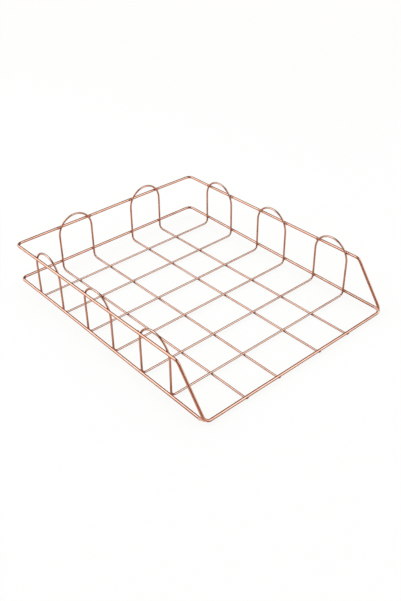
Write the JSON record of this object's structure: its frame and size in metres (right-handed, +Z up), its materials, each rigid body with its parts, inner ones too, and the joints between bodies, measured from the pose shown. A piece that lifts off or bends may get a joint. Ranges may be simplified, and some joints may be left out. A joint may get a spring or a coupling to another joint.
{
  "type": "letter tray",
  "caption": "Open-front stacking letter tray of bent round wire: sloping front sides, a grid floor and arched loops that rise above the rim.",
  "frame": {"origin": "on the surface that the tray stands on, under the middle of its overall box", "axes": "+X across the tray to its right side, +Y from the open front to the back wall, +Z up"},
  "size_m": [0.2832, 0.3432, 0.0742],
  "materials": {
    "copper_plate": "bright rose copper plating on drawn steel wire",
    "plated_weld": "rough weld bead under the same copper plating"
  },
  "bodies": {
    "root": {"rim_wire": "copper_plate", "base_wire": "copper_plate", "cross_loop_front": "copper_plate", "cross_loop_middle": "copper_plate", "cross_loop_back": "copper_plate", "lengthwise_loop_left": "copper_plate", "lengthwise_loop_right": "copper_plate", "end_weld_left": "plated_weld", "end_weld_right": "plated_weld"}
  },
  "joints": []
}
